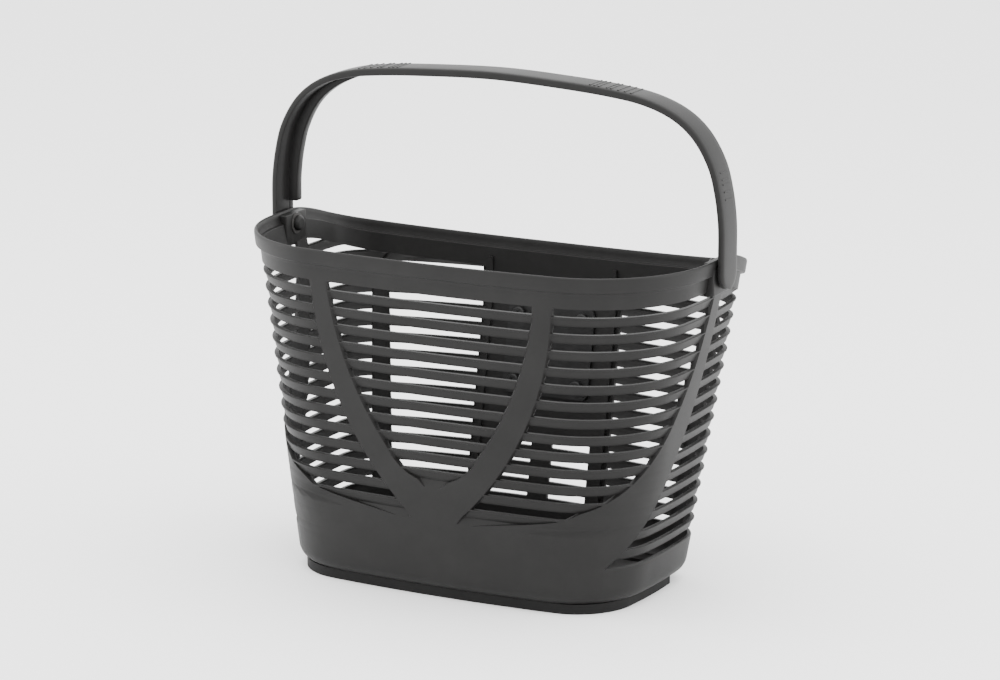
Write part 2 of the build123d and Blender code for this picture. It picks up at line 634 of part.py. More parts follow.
# ---- Release lever, its axle and its spring ----
with BuildPart() as release_lever:
    with BuildSketch(lever_plane.offset(-(LUG_HALF - EAR - 0.4))):
        with Locations((LEVER_V, -LEVER_W)):
            Circle(3.4)
    extrude(amount=2 * (LUG_HALF - EAR - 0.4))
    with BuildSketch(lever_plane.offset(-LEVER_HALF)):
        with BuildLine():
            Polyline(
                (24.5, -6.2),
                (28.0, -6.2),
                (28.0, -8.6),
                (LUG_TOP + 1.0, -8.6),
                (LUG_TOP + 1.0, -11.0),
                (27.0, -11.0),
                (24.5, -8.5),
                (24.5, -6.2),
            )
        make_face()
    extrude(amount=2 * LEVER_HALF)
    # Cup for the spring, behind the thumb tab.
    with BuildSketch(mount_plane.offset(5.6)):
        with Locations((0.0, SPRING_V)):
            Circle(3.7)
            Circle(3.0, mode=Mode.SUBTRACT)
    extrude(amount=3.2)
    with BuildSketch(mount_plane.offset(4.0)):
        with Locations((0.0, SPRING_V)):
            Circle(3.0)
    extrude(amount=4.6, mode=Mode.SUBTRACT)
    with BuildSketch(lever_plane.offset(-LUG_HALF)):
        with Locations((LEVER_V, -LEVER_W)):
            Circle(AXLE_R + RUNNING_GAP)
    extrude(amount=2 * LUG_HALF, mode=Mode.SUBTRACT)

with BuildPart() as lever_axle:
    with BuildSketch(lever_plane.offset(-LUG_HALF - 0.8)):
        with Locations((LEVER_V, -LEVER_W)):
            Circle(AXLE_R)
    extrude(amount=2 * LUG_HALF + 1.6)

spring_length = 5.6
coil_height = spring_length - 2 * SPRING_WIRE_R
coil_foot = mount_plane.from_local_coords((0.0, SPRING_V, 3.0 + SPRING_WIRE_R))
with BuildPart() as lever_spring:
    with BuildLine() as coil:
        Helix(coil_height / SPRING_TURNS, coil_height, SPRING_R, center=coil_foot, direction=outward)
    with BuildSketch(Plane(origin=coil.line @ 0, z_dir=coil.line % 0)):
        Circle(SPRING_WIRE_R)
    sweep(path=coil.line, is_frenet=True)

named = {
    "basket_shell": basket_shell.part,
    "base_plinth": base_plinth.part,
    "plinth_screws": plinth_screws.part,
    "carry_handle": carry_handle.part,
    "backing_plate": backing_plate.part,
    "hook_plate": hook_plate.part,
    "mount_screws": mount_screws.part,
    "mount_washers": mount_washers.part,
    "mount_nuts": mount_nuts.part,
    "release_lever": release_lever.part,
    "lever_axle": lever_axle.part,
    "lever_spring": lever_spring.part,
    **pivot_parts,
}
for name, part in named.items():
    part.label = name
    export_step(part, f"parts/{name}.step")
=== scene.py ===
import math

import bmesh
import bpy
import numpy as np
from mathutils import Matrix, Vector


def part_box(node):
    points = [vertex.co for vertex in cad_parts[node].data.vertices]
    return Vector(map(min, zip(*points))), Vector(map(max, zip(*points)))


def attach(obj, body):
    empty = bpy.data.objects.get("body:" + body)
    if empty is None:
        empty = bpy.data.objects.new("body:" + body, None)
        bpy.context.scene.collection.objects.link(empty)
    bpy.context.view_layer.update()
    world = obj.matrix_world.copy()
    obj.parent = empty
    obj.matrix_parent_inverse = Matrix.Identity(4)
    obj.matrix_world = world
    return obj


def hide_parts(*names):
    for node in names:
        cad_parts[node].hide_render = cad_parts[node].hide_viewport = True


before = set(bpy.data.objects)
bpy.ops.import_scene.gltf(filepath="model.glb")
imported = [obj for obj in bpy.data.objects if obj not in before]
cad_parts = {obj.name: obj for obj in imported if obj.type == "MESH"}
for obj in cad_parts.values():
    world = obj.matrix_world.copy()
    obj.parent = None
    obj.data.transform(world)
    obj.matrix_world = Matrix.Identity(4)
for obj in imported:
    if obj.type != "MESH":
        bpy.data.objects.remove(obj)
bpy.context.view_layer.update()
MM = 0.001

# ---- Driving dimensions of the basket, in millimetres; they repeat the CAD part's ----
RIM_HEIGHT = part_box("basket_shell")[1].z / MM
RIM_DROP = 29.0
RIM_DROP_LENGTH = 119.0
RIM_HALF_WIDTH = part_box("basket_shell")[1].x / MM
RIM_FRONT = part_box("basket_shell")[0].y / MM
RIM_BACK = 92.0
FLANGE_STEP = 3.0
WALL = 2.5
FRONT_RADIUS = 1000.0
SIDE_RADIUS = 400.0
BACK_RADIUS = 500.0
FRONT_CORNER = 83.0
BACK_CORNER = 27.0
SIDE_DRAFT = 0.145
FRONT_DRAFT = 0.06
BACK_DRAFT = 0.20
BACK_SHOULDER_Z = 172.0     # the back wall is upright above this height
FRONT_CORNER_TAPER = 0.11
BACK_CORNER_TAPER = 0.06
BACK_CORNER_BULGE = 1.32
SKIRT_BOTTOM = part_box("basket_shell")[0].z / MM
SKIRT_ROUND = 9.0
SKIRT_TURN_IN = 6.3

SLAT_TOP = 209.9
SLAT_PITCH = 11.81
SLAT_GAP = 5.0
SLAT_HEIGHT = SLAT_PITCH - SLAT_GAP
SLAT_ROWS = 16
CENTRE_ROWS = 11            # gaps inside the U-shaped band
CORNER_ROWS = 13            # gaps round the front corners
BACK_SLOT_FIRST = 12        # the back wall's slots are beside the four lowest side gaps
SHOULDER = 1.2              # width of the bevel along each smooth band
BAND_TOP = 22.0             # the smooth band below the rim ends this far below the rim

PIVOT_Z = 228.5
PAD_HALF = 14.0
PAD_INNER_X = 161.0
PAD_LOW_Z = 213.0
HANDLE_HALF = 12.0
HANDLE_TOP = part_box("carry_handle")[1].z / MM
HANDLE_OUTER_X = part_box("carry_handle")[1].x / MM
HANDLE_LOW_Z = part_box("carry_handle")[0].z / MM


# ---- Mesh helpers ----
def add_object(name, bm, smooth_angle=35.0):
    """Makes an object from a bmesh in millimetres, with smooth shading up to an angle."""
    bmesh.ops.remove_doubles(bm, verts=bm.verts, dist=0.004)
    bmesh.ops.dissolve_degenerate(bm, dist=0.002, edges=bm.edges)
    bmesh.ops.recalc_face_normals(bm, faces=bm.faces)
    bmesh.ops.scale(bm, vec=(MM, MM, MM), verts=bm.verts)
    mesh = bpy.data.meshes.new(name)
    bm.to_mesh(mesh)
    bm.free()
    mesh.polygons.foreach_set("use_smooth", [True] * len(mesh.polygons))
    mesh.set_sharp_from_angle(angle=math.radians(smooth_angle))
    obj = bpy.data.objects.new(name, mesh)
    bpy.context.scene.collection.objects.link(obj)
    return obj


def circle_through(a, b, c):
    """Centre and radius of the circle through three points."""
    ax, ay = a
    bx, by = b
    cx, cy = c
    d = 2 * (ax * (by - cy) + bx * (cy - ay) + cx * (ay - by))
    sa, sb, sc = ax * ax + ay * ay, bx * bx + by * by, cx * cx + cy * cy
    x = (sa * (by - cy) + sb * (cy - ay) + sc * (ay - by)) / d
    y = (sa * (cx - bx) + sb * (ax - cx) + sc * (bx - ax)) / d
    return x, y, math.hypot(ax - x, ay - y)


def edge_through(a, b, c):
    """Circle through three points as (centre, its height, radius, half); half is the side that point a is on."""
    x, z, radius = circle_through(a, b, c)
    return x, z, radius, 1 if x < a[0] else -1


def edge_at(edge, z):
    """First coordinate of the edge at height z."""
    x, centre_z, radius, half = edge
    return x + half * math.sqrt(max(radius**2 - (z - centre_z) ** 2, 0.0))


# ---- Plan of the tapering body ----
def meet(centre_a, radius_a, centre_b, radius_b, pick):
    """The point where two circles meet that scores highest by pick."""
    dx, dy = centre_b[0] - centre_a[0], centre_b[1] - centre_a[1]
    gap = math.hypot(dx, dy)
    along = (radius_a**2 - radius_b**2 + gap**2) / (2 * gap)
    across = math.sqrt(max(radius_a**2 - along**2, 0.0))
    foot = (centre_a[0] + dx * along / gap, centre_a[1] + dy * along / gap)
    points = [(foot[0] - k * dy * across / gap, foot[1] + k * dx * across / gap) for k in (1, -1)]
    return max(points, key=pick)


def heading(centre, point):
    return math.atan2(point[1] - centre[1], point[0] - centre[0])


def plan_arcs(z):
    """Right half of the wall's outer face at height z, front to back, as (centre, radius, start, end)."""
    depth = RIM_HEIGHT - z
    half_width = RIM_HALF_WIDTH - FLANGE_STEP - SIDE_DRAFT * depth
    front_c = (0.0, RIM_FRONT + FLANGE_STEP + FRONT_DRAFT * depth + FRONT_RADIUS)
    side_c = (half_width - SIDE_RADIUS, 0.0)
    back_c = (0.0, RIM_BACK - FLANGE_STEP - BACK_DRAFT * max(BACK_SHOULDER_Z - z, 0.0) - BACK_RADIUS)
    upright = BACK_DRAFT * min(depth, RIM_HEIGHT - BACK_SHOULDER_Z)
    r_f = FRONT_CORNER - FLANGE_STEP - FRONT_CORNER_TAPER * depth
    r_b = BACK_CORNER - FLANGE_STEP - BACK_CORNER_TAPER * depth + BACK_CORNER_BULGE * upright
    corner_f = meet(front_c, FRONT_RADIUS - r_f, side_c, SIDE_RADIUS - r_f, lambda p: p[0] - p[1])
    corner_b = meet(side_c, SIDE_RADIUS - r_b, back_c, BACK_RADIUS - r_b, lambda p: p[0] + p[1])
    turns = [
        -math.pi / 2,
        heading(front_c, corner_f),
        heading(side_c, corner_f),
        heading(side_c, corner_b),
        heading(back_c, corner_b),
        math.pi / 2,
    ]
    centres = [
        (front_c, FRONT_RADIUS),
        (corner_f, r_f),
        (side_c, SIDE_RADIUS),
        (corner_b, r_b),
        (back_c, BACK_RADIUS),
    ]
    return [(c, r, turns[i], turns[i + 1]) for i, (c, r) in enumerate(centres)]


def plan_length(arcs):
    return sum(r * (end - start) for _, r, start, end in arcs)


def plan_point(arcs, along, proud=0.0):
    """Point at a length along the right half of the plan, moved outwards by proud."""
    for centre, radius, start, end in arcs:
        length = radius * (end - start)
        if along <= length or end == math.pi / 2:
            turn = start + min(along, length) / radius
            reach = radius + proud
            return centre[0] + reach * math.cos(turn), centre[1] + reach * math.sin(turn)
        along -= length


def find_along(arcs, value, low, high, axis, rising=True):
    """Length along the plan where the x (0) or y (1) coordinate reaches value."""
    for _ in range(36):
        middle = (low + high) / 2
        if (plan_point(arcs, middle)[axis] < value) == rising:
            low = middle
        else:
            high = middle
    return (low + high) / 2


def rim_top(y):
    """Height of the rim: level in front, with an S-shaped dip behind the pivots."""
    t = min(max(y / RIM_DROP_LENGTH, 0.0), 1.0)
    return RIM_HEIGHT - RIM_DROP * (3 * t**2 - 2 * t**3)


# ---- Edges of the bands and windows, as arcs in front view (x, z) or side view (y, z) ----
CENTRE_KNEE = (35.0, 105.0)     # where the centre field's sill turns into its side
CORNER_SILL_Z = 58.5
CORNER_SIDE_Z = 71.0            # below this the corner field ends on the front, above it on the side
centre_edge = edge_through(CENTRE_KNEE, (62.5, 153.0), (79.0, 216.0))
centre_sill = edge_through(CENTRE_KNEE, (0.0, 83.0), (-CENTRE_KNEE[0], CENTRE_KNEE[1]))
band_edge = edge_through((17.0, 57.5), (69.5, 128.0), (91.0, 216.0))
corner_edge = edge_through((-90.0, CORNER_SIDE_Z), (-20.5, 149.0), (1.5, 215.0))
side_edge = edge_through((-75.0, 33.0), (-11.5, 122.0), (12.8, 215.0))
corner_sill = edge_through((30.0, CORNER_SILL_Z), (79.0, 64.0), (108.0, CORNER_SIDE_Z))
FIELD_TOP_Z = 215.0             # the edges run straight up above this
SILL_LOW_Z = 83.6               # lowest heights at which each edge is read
BAND_LOW_Z = 58.0
SIDE_LOW_Z = 33.0
CENTRE_SILL_Z = 84.0            # the slatted relief starts here in the centre field
CENTRE_LEAST_X = 1.5
BAND_LEAST_WIDTH = 8.0
MARK_STEP = 0.5                 # least distance between two marks
POST_LOW_Y = 43.0               # front edge of the post at the back corner, at SIDE_LOW_Z
POST_SLOPE = 33.0 / 182.0
BACK_FIELD_INNER = 54.0
BACK_FIELD_LOW = (28.0, 112.0)  # height and half width of the back's slatted field
BACK_FIELD_TOP = (216.0, 132.0)
FRONT_SHARE = 0.45              # shares of the half plan that hold the front, the side and the back
SIDE_SHARE = 0.75
BACK_SHARE = 0.6
BACK_SLOT_OUTER = 38.6
BACK_SLOT_INNER = 8.0
GRID_TOP = 240
GRID_STEP = 2


def band_marks(z):
    """Lengths along the plan where the bands and windows begin and end at height z."""
    arcs = plan_arcs(z)
    total = plan_length(arcs)
    level = min(z, FIELD_TOP_Z)
    knee_z = CENTRE_KNEE[1]
    if level > knee_z:
        x_centre = edge_at(centre_edge, level)
    else:
        x_centre = max(edge_at(centre_sill, max(level, SILL_LOW_Z)), CENTRE_LEAST_X)
    x_band = max(edge_at(band_edge, max(level, BAND_LOW_Z)), x_centre + BAND_LEAST_WIDTH)
    y_side = edge_at(side_edge, max(level, SIDE_LOW_Z))
    y_post = POST_LOW_Y + POST_SLOPE * (level - SIDE_LOW_Z)
    if level < CORNER_SIDE_Z:
        x_sill = edge_at(corner_sill, max(level, CORNER_SILL_Z))
        corner_end = find_along(arcs, x_sill, 0.0, total * FRONT_SHARE, 0)
    else:
        corner_end = find_along(arcs, edge_at(corner_edge, level), 0.0, total * SIDE_SHARE, 1)
    x_field = float(np.interp(level, *zip(BACK_FIELD_LOW, BACK_FIELD_TOP)))
    marks = [
        0.0,
        find_along(arcs, x_centre, 0.0, total * FRONT_SHARE, 0),
        find_along(arcs, x_band, 0.0, total * FRONT_SHARE, 0),
        corner_end,
        find_along(arcs, y_side, 0.0, total * SIDE_SHARE, 1),
        find_along(arcs, y_post, 0.0, total * SIDE_SHARE, 1),
    ]
    for x in (x_field, BACK_FIELD_INNER, BACK_SLOT_OUTER, BACK_SLOT_INNER):
        marks.append(find_along(arcs, x, total * BACK_SHARE, total, 0, rising=False))
    marks.append(total)
    for i in range(1, len(marks)):
        marks[i] = max(marks[i], marks[i - 1] + MARK_STEP)
    return marks


# Zones between the marks, with the number of columns in each.
ZONES = [
    ("centre", 22),
    ("band", 7),
    ("corner", 44),
    ("side_band", 9),
    ("side", 26),
    ("post", 16),
    ("back", 22),
    ("panel_edge", 5),
    ("slot", 14),
    ("panel", 4),
]
RECESSED = ("centre", "corner", "side", "back")


def column_lengths(z):
    """Length along the plan of every column at height z."""
    marks = band_marks(z)
    lengths = [0.0]
    for (zone, count), start, end in zip(ZONES, marks, marks[1:]):
        if zone in RECESSED:
            # The first and last columns of a recessed zone carry the bevel of the smooth band beside it.
            first = 0.0 if zone == "centre" else min(SHOULDER, (end - start) / 3)
            last = min(SHOULDER, (end - start) / 3)
            cuts = [start] if zone != "centre" else []
            inner_count = count - (1 if zone == "centre" else 2)
            inner = end - last - start - first
            cuts += [start + first + inner * i / inner_count for i in range(inner_count + 1)]
            cuts.append(end)
            lengths += cuts[1:]
        else:
            lengths += [start + (end - start) * (i + 1) / count for i in range(count)]
    return lengths


def zone_of_cells():
    """Zone name of each cell between columns, and whether the cell is a bevel beside a band."""
    cells = []
    for zone, count in ZONES:
        for i in range(count):
            bevel = zone in RECESSED and (i == count - 1 or (i == 0 and zone != "centre"))
            cells.append((zone, bevel))
    return cells


grid_heights = list(range(0, GRID_TOP + 1, GRID_STEP))
grid_columns = np.array([column_lengths(float(z)) for z in grid_heights])
cells = zone_of_cells()
COLUMNS = len(cells)


def column_along(column, z):
    return float(np.interp(z, grid_heights, grid_columns[:, column]))


def wall_point(column, z, proud):
    """Point of the wall at a column and height, moved outwards by proud."""
    x, y = plan_point(plan_arcs(z), column_along(column, z), proud)
    return x, y, z


def rim_point(column, depth, proud):
    """Point at a depth below the rim's curved top."""
    z = RIM_HEIGHT - depth
    for _ in range(6):
        point = wall_point(column, z, proud)
        z = rim_top(plan_point(plan_arcs(z), column_along(column, z))[1]) - depth
    return point


def gap_bottom(row):
    return SLAT_TOP - SLAT_PITCH * row


# ---- Levels of the wall, from the bottom up ----
# Each level is (kind, outer place, outer proud, inner place, inner proud, recess).
def skirt_levels():
    """The turned-in foot of the skirt and the plain wall up to the lowest gap."""
    levels = []
    steps = 7
    for i in range(steps + 1):
        t = math.pi / 2 * (1 - i / steps)
        z = SKIRT_BOTTOM + SKIRT_ROUND * (1 - math.sin(t))
        turn_in = SKIRT_TURN_IN * (1 - math.cos(t))
        levels.append(("wall", z, -turn_in, max(z, SKIRT_BOTTOM + 2.5), -turn_in - WALL, 0.0))
    for z in (20.0, 25.0, 29.0):
        levels.append(("wall", z, 0.0, z, -WALL, 0.0))
    return levels


# Cross-section of a slat: (share of its height from the bottom, inward lean of its outer face).
SLAT_PROFILE = [
    (0.0, 2.3),
    (0.06, 1.9),
    (0.4, 1.5),
    (0.72, 1.1),
    (0.8, 1.0),
    (0.84, 0.2),
    (0.93, 0.1),
    (0.98, 0.3),
    (1.0, 0.9),
]


def slat_levels():
    """All the slats and gaps, from the lowest gap up."""
    levels = [("wall", gap_bottom(SLAT_ROWS - 1) - 0.7, 0.0, gap_bottom(SLAT_ROWS - 1) - 0.7, -WALL, 0.0)]
    levels.append(("wall", gap_bottom(SLAT_ROWS - 1), 0.0, gap_bottom(SLAT_ROWS - 1), -WALL, 0.5))
    for row in range(SLAT_ROWS - 2, -1, -1):
        foot = gap_bottom(row) - SLAT_HEIGHT
        for share, recess in SLAT_PROFILE:
            z = foot + share * SLAT_HEIGHT
            levels.append(("wall", z, 0.0, z, -WALL, recess))
    return levels


# Rim section: (outer depth below the rim, outer proud, inner depth, inner proud).
RIM_SECTION = [
    (22.0, 0.0, 22.0, -2.5),
    (21.3, 0.0, 21.3, -2.5),
    (14.0, 0.0, 14.0, -2.5),
    (11.4, 0.0, 10.5, -2.5),
    (10.8, 0.35, 9.0, -2.5),
    (10.5, 2.3, 8.3, -2.5),
    (10.1, 2.85, 8.0, -2.2),
    (9.3, 3.0, 7.8, -0.1),
    (5.0, 3.0, 7.2, 0.2),
    (2.4, 3.0, 3.5, 0.2),
    (1.1, 2.8, 1.0, 0.3),
    (0.35, 2.3, 0.3, 0.7),
    (0.0, 1.7, 0.0, 1.2),
]


def level_rows():
    """All the levels from the skirt to the top of the rim."""
    return skirt_levels() + slat_levels() + [("rim", *section, 0.0) for section in RIM_SECTION]


def recess_weight(column, z):
    """1 where a column lies in a slatted zone at height z, 0 on the smooth bands and the skirt."""
    left = cells[column - 1] if column > 0 else cells[0]
    right = cells[column] if column < COLUMNS else cells[-1]
    zone = right[0] if not right[1] else left[0]
    if left[0] != right[0] or (left[1] and right[1]):
        return 0.0
    lowest = {
        "centre": CENTRE_SILL_Z,
        "corner": CORNER_SILL_Z,
        "side": gap_bottom(SLAT_ROWS - 1),
        "back": gap_bottom(SLAT_ROWS - 1),
    }
    if zone not in lowest or z < lowest[zone] - 0.01:
        return 0.0
    return 1.0


def is_gap(zone, bevel, low_z, high_z):
    """Whether the wall between two heights of a zone is open."""
    if bevel:
        return False
    middle = (low_z + high_z) / 2
    row = math.floor((SLAT_TOP + SLAT_GAP - middle) / SLAT_PITCH)
    in_gap = 0 <= row < SLAT_ROWS and gap_bottom(row) - 0.01 < middle < gap_bottom(row) + SLAT_GAP + 0.01
    if zone == "slot":
        return in_gap and row >= BACK_SLOT_FIRST
    if zone == "centre":
        return in_gap and row < CENTRE_ROWS
    if zone == "corner":
        return in_gap and row < CORNER_ROWS
    return zone in ("side", "back") and in_gap


def basket_mesh():
    """The whole wall as one closed skin, with every gap cut through."""
    levels = level_rows()
    outer, inner = [], []
    for kind, place, proud, inner_place, inner_proud, recess in levels:
        outer_row, inner_row = [], []
        for column in range(COLUMNS + 1):
            if kind == "rim":
                outer_row.append(rim_point(column, place, proud))
                inner_row.append(rim_point(column, inner_place, inner_proud))
                continue
            cap = band_caps[column]
            z = min(place, cap)
            dip = recess * recess_weight(column, place) if place < cap else 0.0
            outer_row.append(wall_point(column, z, proud - dip))
            inner_row.append(wall_point(column, min(inner_place, cap), inner_proud - dip * 0.8))
        outer.append(outer_row)
        inner.append(inner_row)

    def open_cell(level, column):
        if level < 0 or level >= len(levels) - 1:
            return True
        if levels[level][0] == "rim":
            return False
        zone, bevel = cells[column]
        low = min(outer[level][column][2], outer[level][column + 1][2])
        high = max(outer[level + 1][column][2], outer[level + 1][column + 1][2])
        if high - low < 0.3:
            return False
        top = levels[level + 1][1] if levels[level + 1][0] == "wall" else levels[level][1] + SLAT_GAP
        return is_gap(zone, bevel, levels[level][1], min(top, levels[level][1] + SLAT_GAP + 0.1))

    bm = bmesh.new()
    for sign in (1, -1):
        out_v = [[bm.verts.new((sign * x, y, z)) for x, y, z in row] for row in outer]
        in_v = [[bm.verts.new((sign * x, y, z)) for x, y, z in row] for row in inner]
        for level in range(len(levels) - 1):
            for column in range(COLUMNS):
                if open_cell(level, column):
                    continue
                quad = [(level, column), (level, column + 1), (level + 1, column + 1), (level + 1, column)]
                bm.faces.new([out_v[i][j] for i, j in quad])
                bm.faces.new([in_v[i][j] for i, j in reversed(quad)])
                sides = [(0, 1, level - 1, column), (2, 3, level + 1, column)]
                if column > 0:
                    sides.append((3, 0, level, column - 1))
                if column < COLUMNS - 1:
                    sides.append((1, 2, level, column + 1))
                for a, b, near_level, near_column in sides:
                    if open_cell(near_level, near_column):
                        (i, j), (k, m) = quad[a], quad[b]
                        bm.faces.new([out_v[k][m], out_v[i][j], in_v[i][j], in_v[k][m]])
    return bm


band_caps = [rim_point(column, BAND_TOP, 0.0)[2] for column in range(COLUMNS + 1)]


def add_box(bm, low, high, bevel=0.0):
    """Adds a box with bevelled edges."""
    verts = bmesh.ops.create_cube(bm, size=1.0)["verts"]
    centre = [(a + b) / 2 for a, b in zip(low, high)]
    size = [b - a for a, b in zip(low, high)]
    bmesh.ops.scale(bm, vec=size, verts=verts)
    bmesh.ops.translate(bm, vec=centre, verts=verts)
    if bevel:
        edges = list({e for v in verts for e in v.link_edges})
        bmesh.ops.bevel(bm, geom=edges, offset=bevel, segments=3, profile=0.5, affect="EDGES")


# Corners of an upright rib in plan: (distance from the middle, how far out from the wall's outer face).
BACK_RIB_SECTION = [(48.0, -WALL + 0.2), (48.0, -WALL - 2.0), (51.0, -WALL - 2.0), (51.0, -WALL + 0.2)]
BACK_RIB_TOP = 199.0
BACK_RIB_ROWS = 24


def add_fittings(bm):
    """Pivot pads inside the rim and the two upright ribs inside the back wall."""
    for sign in (1, -1):
        xs = sorted((sign * PAD_INNER_X, sign * (RIM_HALF_WIDTH - 1.0)))
        add_box(bm, (xs[0], -PAD_HALF, PAD_LOW_Z), (xs[1], PAD_HALF, rim_top(PAD_HALF) - 0.6), 1.2)
        rows = []
        for z in np.linspace(SKIRT_BOTTOM + 3.0, BACK_RIB_TOP, BACK_RIB_ROWS):
            arcs = plan_arcs(z)
            total = plan_length(arcs)
            row = []
            for x, proud in BACK_RIB_SECTION:
                along = find_along(arcs, x, total * BACK_SHARE, total, 0, rising=False)
                px, py = plan_point(arcs, along, proud)
                row.append(bm.verts.new((sign * px, py, z)))
            rows.append(row)
        for low, high in zip(rows, rows[1:]):
            for i in range(4):
                j = (i + 1) % 4
                bm.faces.new([low[i], low[j], high[j], high[i]])
        bm.faces.new(rows[0])
        bm.faces.new(rows[-1])


DRAIN_XS = (-72.0, 0.0, 72.0)
DRAIN_YS = (-58.0, -41.0, -24.0, 23.0)
DRAIN_HALF = 27.0
DRAIN_RADIUS = 3.0


def add_spline(curve, points):
    spline = curve.splines.new("POLY")
    spline.points.add(len(points) - 1)
    for target, (x, y) in zip(spline.points, points):
        target.co = (x * MM, y * MM, 0.0, 1.0)
    spline.use_cyclic_u = True


def floor_plate():
    """The floor with its drain slots, filled from a flat outline."""
    curve = bpy.data.curves.new("floor_outline", "CURVE")
    curve.dimensions = "2D"
    curve.fill_mode = "BOTH"
    curve.extrude = 1.25 * MM
    arcs = plan_arcs(SKIRT_BOTTOM + 2.5)
    total = plan_length(arcs)
    right = [plan_point(arcs, total * i / 90, -SKIRT_TURN_IN - 0.8) for i in range(91)]
    add_spline(curve, right + [(-x, y) for x, y in reversed(right[1:-1])])
    for cx in DRAIN_XS:
        for cy in DRAIN_YS:
            turns = [math.pi * i / 8 for i in range(9)]
            end = [(DRAIN_HALF + DRAIN_RADIUS * math.sin(t), DRAIN_RADIUS * math.cos(t)) for t in turns]
            right_end = [(cx + x, cy - y) for x, y in end]
            left_end = [(cx - x, cy + y) for x, y in end]
            add_spline(curve, right_end + left_end)
    holder = bpy.data.objects.new("floor_outline", curve)
    bpy.context.scene.collection.objects.link(holder)
    bpy.context.view_layer.update()
    mesh = bpy.data.meshes.new_from_object(holder.evaluated_get(bpy.context.evaluated_depsgraph_get()))
    bpy.data.objects.remove(holder)
    mesh.transform(Matrix.Translation((0.0, 0.0, (SKIRT_BOTTOM + 1.25) * MM)))
    obj = bpy.data.objects.new("basket_floor", mesh)
    bpy.context.scene.collection.objects.link(obj)
    return obj


# ---- Carry handle ----
# Outer line of the bail's right half in front view, from the leg's end to the middle of the grip.
ARCH = [
    (HANDLE_OUTER_X, HANDLE_LOW_Z),
    (HANDLE_OUTER_X, 240.0),
    (HANDLE_OUTER_X - 0.4, 262.0),
    (171.5, 283.0),
    (166.0, 302.0),
    (154.6, 320.5),
    (139.0, 333.5),
    (118.0, 342.0),
    (92.0, 346.6),
    (52.0, 349.6),
    (0.0, HANDLE_TOP),
]
LEG_THICKNESS = 4.6
GRIP_THICKNESS = 5.6
RIB_START_Z = 243.0
RIB_REACH = 7.0
RIB_END_X = 104.0
RIB_FULL_X = 166.0
GRIP_END_X = 90.0           # the bail thins from the grip to the leg between these two
LEG_START_X = 160.0
LEG_SIDE_X = 100.0          # the leg's own points all lie outside this
SHOULDER_Z = 300.0          # the grip lies above this
LEG_UPPER_X = 150.0         # the leg's straight part lies outside this
TIP_LEAST_SQUEEZE = 0.03
SERRATIONS = 8
SERRATION_START_X = 72.0
LEG_BARS = 5
LEG_BAR_START_Z = 278.0
DETAIL_PITCH = 4.6
FAR_AWAY = 1000             # added to a distance to rule a place out


def smooth_line(points, steps):
    """Catmull-Rom curve through the points, level at its last one."""
    padded = [points[0], *points, (-points[-2][0], points[-2][1])]
    line = []
    for p0, p1, p2, p3 in zip(padded, padded[1:], padded[2:], padded[3:]):
        for i in range(steps):
            t = i / steps
            line.append(
                tuple(
                    b
                    + 0.5 * (c - a) * t
                    + 0.5 * (2 * a - 5 * b + 4 * c - d) * t**2
                    + 0.5 * (3 * b - a - 3 * c + d) * t**3
                    for a, b, c, d in zip(p0, p1, p2, p3)
                )
            )
    line.append(points[-1])
    return line


arch_line = smooth_line(ARCH, 12)


def arch_frames():
    """(x, z, outward normal x, outward normal z) along the right half of the bail."""
    frames = []
    for i, (x, z) in enumerate(arch_line):
        before = arch_line[max(i - 1, 0)]
        after = arch_line[min(i + 1, len(arch_line) - 1)]
        if i == len(arch_line) - 1:
            after = (-before[0], before[1])
        dx, dz = after[0] - before[0], after[1] - before[1]
        length = math.hypot(dx, dz)
        frames.append((x, z, dz / length, -dx / length))
    return frames


def handle_section(thickness, rib, squeeze):
    """Cross-section points (depth, inward), crowned outside, with the rib at the back of the inner face."""
    half = HANDLE_HALF * squeeze
    front, back = -half, half
    rib_front = min(5.0, back * 0.42)
    deep = thickness + rib
    section = [
        (front, 1.9),
        (front + 0.25, 1.1),
        (front + 1.0, 0.5),
        (front + 2.6, 0.22),
        (front * 0.45, 0.06),
        (0.0, 0.0),
        (back * 0.45, 0.06),
        (back - 2.6 * squeeze, 0.22),
        (back - 1.0 * squeeze, 0.5),
        (back - 0.25 * squeeze, 1.1),
        (back, 1.9),
        (back, deep - 0.8),
        (back - 0.25 * squeeze, deep - 0.25),
        (back - 0.8 * squeeze, deep),
        (rib_front + 0.9 * squeeze, deep),
        (rib_front + 0.3 * squeeze, deep - 0.25),
        (rib_front, deep - 0.7 if rib > 0.8 else thickness),
        (rib_front, thickness + min(rib * 0.3, 0.4)),
        (rib_front - 0.5, thickness),
        (0.0, thickness),
        (front + 0.8 * squeeze, thickness),
        (front + 0.2 * squeeze, thickness - 0.3),
        (front, thickness - 0.9),
    ]
    return section


